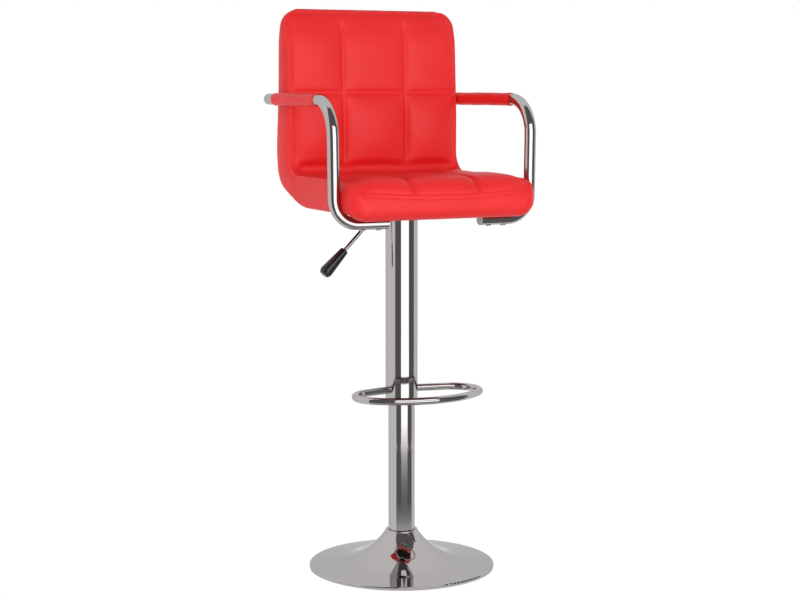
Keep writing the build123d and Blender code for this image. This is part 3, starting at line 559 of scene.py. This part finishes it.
SHELL, RUN, ACROSS, INWARD, SHARE = shell_grid()
ON_FRONT = SHARE < 0.002
ON_REAR = SHARE > 0.998
ON_SIDE = ~(ON_FRONT | ON_REAR)
SHELL_FACES = grid_faces(*SHELL.shape[:2], round_columns=True)
FROM_MIDDLE = np.abs(ACROSS)
NOSEWARD = climb(-SHELL[..., 1], start=100.0, over=60.0)


def grid_normals(points):
    """Outward unit normals of the closed grid: the cross product of its slopes down and round."""
    down = np.gradient(points, axis=0)
    around = np.roll(points, -1, 1) - np.roll(points, 1, 1)
    normal = np.cross(down, around)
    return normal / np.maximum(np.linalg.norm(normal, axis=-1, keepdims=True), 1e-9)


def in_span(values, lines):
    """For each value: which span between the lines it lies in, and its share of that span."""
    index = np.clip(np.searchsorted(lines, values, side="right") - 1, 0, len(lines) - 2)
    return index, np.clip((values - lines[index]) / (lines[index + 1] - lines[index]), 0, 1)


def to_nearest(values, lines):
    """Distance from each value to the nearest of the lines."""
    return np.min(np.abs(values[..., None] - lines), axis=-1)


def close_to(values, lines, margin=0.6):
    """Whether each value lies within a margin of one of the lines."""
    return to_nearest(values, np.atleast_1d(lines)) < margin


def seam_distance(sag=7.0, sag_half_width=165.0, far_from_seams=60.0):
    """Distance past the sewn border of the panels: below 0 inside it, 0 on the border seam and STRIP on
    the second seam. The border is the larger of three distances, rounded where they meet: outward past
    the side seam, down past the nose seam, which sags in its middle, and up past the top seam. The sag
    is a parabola, 1 - (distance from the middle / half width) squared.
    """
    side = FROM_MIDDLE - EDGE_SEAM_X + np.where(ON_SIDE, INWARD, 0.0)
    side = np.where(side > 0, side * STRIP / (STRIP + SEAM_INSET), side)
    nose = RUN - NOSE_SEAM - sag * (1 - climb(FROM_MIDDLE, 0.0, sag_half_width) ** 2)
    top = TOP_SEAM - RUN

    def larger(a, b, blend):
        """The larger of two, rounded over where they differ by less than the blend."""
        share = np.clip(0.5 + 0.5 * (a - b) / blend, 0, 1)
        return b + (a - b) * share + blend * share * (1 - share) * 0.5
    return np.where(ON_REAR, far_from_seams, larger(larger(side, nose, blend=18.0), top, blend=10.0))


BORDER = seam_distance()
# for each row of panels, from the top down: the height of its arch, and of its quick rise at the seams
ARCHES = np.array([5.5, 10.5, 4.5, 5.5])
QUICK_RISES = np.array([4.0, 5.5, 1.5, 2.5])


def panel_rise(seam_reach=9.0, border_reach=6.5, nose_reach=13.5, open_top=30.0):
    """Padding of the front face above its pattern.

    Over each panel lies an arch, 4u(1 - u) times 4v(1 - v) over its width and its length. Beside each
    sewn line the cover also rises quickly, by 1 - exp(-distance / reach), and the reach from the border
    grows toward the nose. The channels start below the top edge, over its first 30.
    """
    row, down = in_span(RUN, ROWS)
    _, over = in_span(ACROSS, COLUMNS)
    arch = 4 * over * (1 - over) * 4 * down * (1 - down)
    closed = climb(RUN, TOP_SEAM, open_top)
    from_channel = to_nearest(ACROSS, COLUMNS[1:3]) + (1 - closed) * open_top
    from_row = to_nearest(RUN, ROWS[1:4])
    reach = border_reach + nose_reach * smoothstep(climb(RUN, SEAT_SEAM + 40, over=80.0))
    quick = (1 - np.exp(-from_channel / seam_reach)) * (1 - np.exp(-from_row / seam_reach))
    quick = quick * (1 - np.exp(BORDER / reach))
    return np.where(ON_FRONT & (BORDER < 0), ARCHES[row] * arch + QUICK_RISES[row] * quick, 0.0)


def side_rise(boxing=3.6, drop=6.5, rear_height=2.5):
    """Swelling of the other faces, above their pattern.

    The boxing swells by 4s(1 - s) to the power 0.8 over its width, less toward the front and where the
    shell is thinner than 40. The seat's front corners drop by the square of a straight rise toward the
    sides, and not at the nose's bottom. The back's rear face rises by 1 - exp(-distance from its edge / 3).
    """
    y, z = SHELL[..., 1], SHELL[..., 2]
    forward = toward_front(y)
    thickness = np.where(SHARE > 1e-6, INWARD / np.maximum(SHARE, 1e-6), 0)
    full = climb(thickness, 0.0, over=40.0)
    side = boxing * (1 - forward) * np.clip(4 * SHARE * (1 - SHARE), 0, 1) ** 0.8 * full
    outward = climb(FROM_MIDDLE, start=140.0, over=55.0) ** 2
    falling = -drop * forward * outward * smoothstep(climb(z, NOSE_BOTTOM + 30, over=36.0))
    from_edge = HALF_WIDTH - FROM_MIDDLE
    rear = np.where(y > BACK_FROM, rear_height, 0.0) * (1 - np.exp(-from_edge / 3.0))
    return np.select([ON_SIDE, ON_FRONT, ON_REAR], [side, falling, rear], 0.0)


def sewn_points():
    """The points that stitches or the board beneath hold still while the padding swells."""
    panels = ON_FRONT & (BORDER < 0)
    channel = panels & close_to(ACROSS, COLUMNS[1:3])
    row = panels & close_to(RUN, ROWS[1:4])
    border = close_to(BORDER, [0.0, STRIP], margin=1.3)
    rear_edge = ON_REAR & close_to(FROM_MIDDLE, EDGE_SEAM_X)
    ends = close_to(RUN, [0.0, FRONT_LENGTH])
    under = ON_REAR & (SHELL[..., 2] < UNDERSIDE + 12) & (SHELL[..., 1] < 90)
    return channel | row | border | rear_edge | ends | under


def inflate(points, faces, pinned, pressure=4.0, frames=20):
    """Cloth simulation of a closed skin pressed out from inside. Pinned points stay where they are."""
    mesh = bpy.data.meshes.new("skin")
    mesh.from_pydata(points.reshape(-1, 3) * MM, [], faces.tolist())
    work = bmesh.new()
    work.from_mesh(mesh)
    bmesh.ops.recalc_face_normals(work, faces=work.faces)
    work.to_mesh(mesh)
    work.free()
    skin = bpy.data.objects.new("skin", mesh)
    scene.collection.objects.link(skin)
    sewn = skin.vertex_groups.new(name="sewn")
    sewn.add(np.flatnonzero(pinned.ravel()).tolist(), 1.0, "REPLACE")
    cloth = skin.modifiers.new("cloth", "CLOTH")
    cloth.settings.quality = 6
    cloth.settings.mass = 0.3
    cloth.settings.vertex_group_mass = "sewn"
    cloth.settings.pin_stiffness = 1.0
    cloth.settings.use_pressure = True
    cloth.settings.uniform_pressure_force = pressure
    cloth.settings.effector_weights.gravity = 0.0
    cloth.collision_settings.use_collision = False
    cloth.point_cache.frame_start = 1
    cloth.point_cache.frame_end = frames
    for frame_number in range(1, frames + 1):
        scene.frame_set(frame_number)
    shown = skin.evaluated_get(bpy.context.evaluated_depsgraph_get())
    swollen = np.empty(points.size)
    shown.data.vertices.foreach_get("co", swollen)
    bpy.data.objects.remove(skin)
    bpy.data.meshes.remove(mesh)
    scene.frame_set(1)
    return swollen.reshape(points.shape) / MM


def capped(moved, cap):
    """Moves no longer than the cap: each length becomes cap times tanh(length / cap)."""
    length = np.linalg.norm(moved, axis=-1, keepdims=True)
    return moved * (cap * np.tanh(length / cap) / np.maximum(length, 1e-6))


def eased(points, weight, rounds=14):
    """Points drawn toward the mean of their four neighbours on the grid, as far as their weight says."""
    for _ in range(rounds):
        ahead = np.concatenate([points[1:], points[-1:]])
        behind = np.concatenate([points[:1], points[:-1]])
        mean = (ahead + behind + np.roll(points, 1, 1) + np.roll(points, -1, 1)) / 4
        points = points + weight[..., None] * (mean - points)
    return points


def soften_nose(points, strength=0.8):
    """The nose's corners eased. The weight grows over the outer part of the front face, falls to nothing
    over the near half of the sides, and fades at the end of the run.
    """
    toward_side = climb(FROM_MIDDLE, start=150.0, over=30.0)
    round_side = 1 - climb(SHARE, start=0.0, over=0.5)
    corner = np.select([ON_FRONT, ON_SIDE], [toward_side, round_side], 0.0)
    ending = climb(FRONT_LENGTH - RUN, start=0.0, over=10.0)
    return eased(points, strength * NOSEWARD * corner * ending)


def stitch_depth(channel=1.6, channel_at_nose=3.6, row=1.8, fold=14.0, seam=1.0, seam_at_nose=0.7):
    """How deep the stitches pull the cover in: depth times a bell beside each line, the deepest counting.

    The channels fade in below the top seam and deepen toward the nose. The fold between back and seat is
    much deeper than the other two rows, and fades out toward its ends. The two seams of the border are
    fine lines, a little deeper at the nose, that end at its corners.
    """
    inward = -BORDER
    fade = climb(RUN, TOP_SEAM + 8, over=24.0)
    deeper = climb(RUN, NOSE_SEAM - 75, over=45.0) * climb(inward, 0.0, over=14.0)
    channels = (channel + channel_at_nose * deeper) * fade * bell(to_nearest(ACROSS, COLUMNS[1:3]), 5.4)
    rows = row * bell(to_nearest(RUN, ROWS[1:4:2]), width=5.0)
    bend = fold * climb(inward, 0.0, over=22.0) * bell(RUN - BEND_SEAM, width=11.0)
    within = ON_FRONT & (BORDER < 2)
    groove = np.where(within, np.maximum(np.maximum(channels, rows), bend), 0.0)
    corner = NOSEWARD * climb(FROM_MIDDLE, start=148.0, over=26.0)
    lines = bell(BORDER, width=1.7) + bell(BORDER - STRIP, width=1.7)
    return np.maximum(groove, (seam + seam_at_nose * NOSEWARD) * (1 - corner) * lines)


def pad_shell():
    """The shell with its padding: the low start of panel_rise and side_rise, the simulation's swelling
    under a cap for each region, the nose's corners softened, and the stitches pulled in along the normals.
    """
    start = SHELL + grid_normals(SHELL) * (panel_rise() + side_rise())[..., None]
    swollen = inflate(start, SHELL_FACES, sewn_points())
    cap = np.select([ON_FRONT & (BORDER > 0), ON_FRONT, ON_SIDE], [0.9, 2.2, 1.6], 0.9)
    padded = soften_nose(start + capped(swollen - start, cap[..., None]))
    return padded - grid_normals(padded) * stitch_depth()[..., None]


seat_shell = add_piece("seat_upholstery", pad_shell() * MM, SHELL_FACES, LEATHER)
subdivided = seat_shell.modifiers.new("smooth", "SUBSURF")
subdivided.levels = subdivided.render_levels = 1
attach(seat_shell, "seat")
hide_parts("seat_cushion", "rear_cover")


# ---------------------------------------------------------------- arm pads
def arm_pad(name, node, phase, wall=1.95, play=0.1, wave=0.55, closing=0.03):
    """A stuffed sleeve round the arm tube, closed as a long ring: out along its skin and back along
    the tube. Its radius swells by three slow waves that also turn with the angle round the tube. Over the
    closing share of its length at each end it comes down to the tube in a quarter circle.
    """
    low, high = (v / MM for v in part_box(node))
    centre_z = (low.z + high.z) / 2
    radius, start, end = (high.z - low.z) / 2, low.y, high.y
    side = math.copysign(1.0, low.x)
    wide, narrow = max(abs(low.x), abs(high.x)) - radius, min(abs(low.x), abs(high.x)) + radius
    tube = radius - wall
    share = spaced([0.0, 0.06, 0.94, 1.0], [0.006, 0.02, 0.006])
    angle = np.linspace(0, 2 * np.pi, 48, endpoint=False)
    t, a = np.meshgrid(share, angle, indexing="ij")
    waves = (0.45 * np.sin(9.0 * t + phase + np.sin(a)) + 0.35 * np.sin(21.0 * t + 2 * phase - 2 * a)
             + 0.2 * np.sin(37.0 * t + 3 * phase + 3 * a))
    from_end = climb(np.minimum(t, 1 - t), 0.0, closing)
    ends = np.sqrt(1 - (1 - from_end) ** 2)
    outer = tube + play + (radius - wave - tube + wave * waves) * ends
    back = np.array([0.9, 0.5, 0.1])
    r = np.vstack([outer, np.full((len(back), len(angle)), tube + play)])
    y = start + (end - start) * np.concatenate([share, back])
    centre_x = side * (wide + (narrow - wide) * (y - start) / (end - start))[:, None]
    points = np.stack([centre_x + r * np.cos(a[0]), np.broadcast_to(y[:, None], r.shape),
                       centre_z + r * np.sin(a[0])], -1)
    piece = add_piece(name, points * MM, grid_faces(len(y), len(angle), True, True), LEATHER)
    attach(piece, "seat")
    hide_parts(node)


arm_pad("arm_pad_left_sleeve", "arm_pad_left", 0.4)
arm_pad("arm_pad_right_sleeve", "arm_pad_right", 2.1)


# ---------------------------------------------------------------- studio
# directions round the column in degrees, counted from the stool's front toward +X
SOFTBOX = (-29.0, 25.0)
LEFT_FLAG = (-73.0, -31.0)
RIGHT_FLAG = (27.0, 71.0)
UPPER_FLAG = (-73.0, 61.0)
ALL_ROUND = (-180.0, 180.0)


def glow(name, level, strength=1.0):
    """A material that only shines, in one colour."""
    material = bpy.data.materials.new(name)
    nodes = Nodes(material)
    shine = nodes.add("ShaderNodeEmission", Color=(*level, 1), Strength=strength)
    nodes.join(shine, "Emission", nodes.add("ShaderNodeOutputMaterial"), "Surface")
    return material


def graded_glow(name, stops, reach=3.0, strength=2.4):
    """A material that only shines, white, at a level that follows the distance from the column's axis.

    The stops are (distance in metres, level). The ramp runs over distance / reach, and holds
    level / strength, since it takes no value above 1.
    """
    material = bpy.data.materials.new(name)
    nodes = Nodes(material)
    place = nodes.add("ShaderNodeTexCoord")
    flat = nodes.add("ShaderNodeMapping", Scale=(1.0 / reach, 1.0 / reach, 0.0))
    nodes.join(place, "Object", flat, "Vector")
    length = nodes.add("ShaderNodeVectorMath", operation="LENGTH")
    nodes.join(flat, "Vector", length, 0)
    tint = nodes.ramp(length, "Value", [(r / reach, (v / strength,) * 3) for r, v in stops])
    shine = nodes.add("ShaderNodeEmission", Strength=strength)
    nodes.join(tint, "Color", shine, "Color")
    nodes.join(shine, "Emission", nodes.add("ShaderNodeOutputMaterial"), "Surface")
    return material


def hang(name, points, faces, material, seen_by):
    """A card of the studio that only diffuse or only glossy rays see. It throws no shadow."""
    piece = add_piece(name, points, faces, material, smooth=False)
    piece.visible_camera = False
    piece.visible_shadow = False
    piece.visible_transmission = False
    piece.visible_diffuse = seen_by == "diffuse"
    piece.visible_glossy = seen_by == "glossy"


def upright_panel(name, azimuths, distance, bottom, top, material, seen_by="glossy"):
    """A flat upright card facing the column between two directions, at its distance in the middle."""
    a, b = np.radians(azimuths)
    mid = (a + b) / 2
    half = distance * math.tan((b - a) / 2)
    centre = np.array([math.sin(mid), -math.cos(mid)]) * distance
    aside = np.array([math.cos(mid), math.sin(mid)]) * half
    (x0, y0), (x1, y1) = centre - aside, centre + aside
    corners = [(x0, y0, bottom), (x1, y1, bottom), (x1, y1, top), (x0, y0, top)]
    hang(name, corners, [(0, 1, 2, 3)], material, seen_by)


def round_panel(name, azimuths, inner, outer, height, material, seen_by="glossy", rise=0.0):
    """A card between two arcs round the column. It is level, or with a rise its outer arc lies higher."""
    angle = np.radians(np.linspace(*azimuths, 25))
    ring = np.stack([np.sin(angle), -np.cos(angle), np.full_like(angle, height)], -1)
    points = np.stack([ring * (inner, inner, 1), ring * (outer, outer, 1) + (0, 0, rise)])
    hang(name, points, grid_faces(2, len(angle)), material, seen_by)


def surround():
    """White on every side: at full level for the camera and in mirrors, a little dimmer as a light."""
    world = bpy.data.worlds.new("studio")
    scene.world = world
    nodes = Nodes(world)
    level = nodes.add("ShaderNodeMapRange", **{"To Min": 0.85, "To Max": 1.0})
    nodes.join(nodes.straight_ray(), "Value", level, "Value")
    back = nodes.add("ShaderNodeBackground", Color=(1, 1, 1, 1))
    nodes.join(level, "Result", back, "Strength")
    nodes.join(back, "Background", nodes.add("ShaderNodeOutputWorld"), "Surface")


def light_studio():
    """What lights the padding and what the chrome mirrors.

    Diffuse rays see a key light in front, to the sitter's right, and a shade overhead that holds the top
    faces back. Glossy rays see two softboxes in front, one near and high and one far and low, between
    dark flags on each side, behind and overhead, and cards on the floor whose level changes outward.
    """
    # an upright panel's numbers are its distance, bottom and top, in metres
    upright_panel("key_light", (-60.0, 25.0), 1.6, 0.55, 2.3, glow("key_glow", (1, 1, 1), 1.93), "diffuse")
    white = glow("softbox_glow", (1, 1, 1), 2.4)
    upright_panel("high_softbox", SOFTBOX, 1.15, 0.75, 1.45, white)
    upright_panel("far_softbox", SOFTBOX, 3.0, 0.0, 0.68, white)
    dark = glow("flag_cloth", (0.16, 0.155, 0.155))
    upright_panel("left_flag", LEFT_FLAG, 1.25, 0.0, 1.5, dark)
    upright_panel("right_flag", RIGHT_FLAG, 1.25, 0.0, 1.5, dark)
    upright_panel("far_flag", SOFTBOX, 3.1, 0.68, 2.6, dark)
    # a round panel's numbers are its inner radius, outer radius and height, in metres
    shade = glow("ceiling_shade_cloth", (0.20, 0.20, 0.20))
    round_panel("ceiling_shade", ALL_ROUND, 0.0, 1.8, 2.7, shade, "diffuse")
    round_panel("top_flag", UPPER_FLAG, 1.22, 1.22, 1.45, dark, rise=1.15)
    round_panel("ceiling_flag", UPPER_FLAG, 0.45, 1.4, 2.6, dark)
    near = [(0.20, 0.70), (0.31, 0.68), (0.345, 0.63), (0.38, 0.53), (0.47, 0.32)]
    far = [(0.56, 0.25), (0.655, 0.25), (0.86, 0.37), (1.13, 0.72), (1.32, 1.36), (1.65, 2.4)]
    side = [(0.60, 0.17), (1.25, 0.16)]
    on_floor = 0.001
    side_glow = graded_glow("floor_side_glow", near + side)
    round_panel("floor_card", (-30.0, 26.0), 0.20, 3.4, on_floor, graded_glow("floor_card_glow", near + far))
    round_panel("floor_left", (-73.0, -30.0), 0.20, 1.25, on_floor, side_glow)
    round_panel("floor_right", (26.0, 71.0), 0.20, 1.25, on_floor, side_glow)


def lay_floor():
    """A pale floor that takes the stool's soft shadow. For the camera and in mirrors it is mostly glow, so
    that it ends in the white surroundings without an edge, and for all other rays it is pale paint.
    """
    material = bpy.data.materials.new("studio_floor")
    nodes = Nodes(material)
    part = nodes.add("ShaderNodeMath", operation="MULTIPLY")
    nodes.join(nodes.straight_ray(), "Value", part, 0)
    part.inputs[1].default_value = 0.93
    mix = nodes.add("ShaderNodeMixShader")
    nodes.join(part, "Value", mix, 0)
    nodes.join(nodes.add("ShaderNodeBsdfDiffuse", Color=(0.9, 0.9, 0.9, 1)), "BSDF", mix, 1)
    nodes.join(nodes.add("ShaderNodeEmission", Strength=1.03), "Emission", mix, 2)
    nodes.join(mix, "Shader", nodes.add("ShaderNodeOutputMaterial"), "Surface")
    size = 12.0
    points = [(-size, -size, 0), (size, -size, 0), (size, size, 0), (-size, size, 0)]
    add_piece("floor", points, [(0, 1, 2, 3)], material, smooth=False)


surround()
light_studio()
lay_floor()
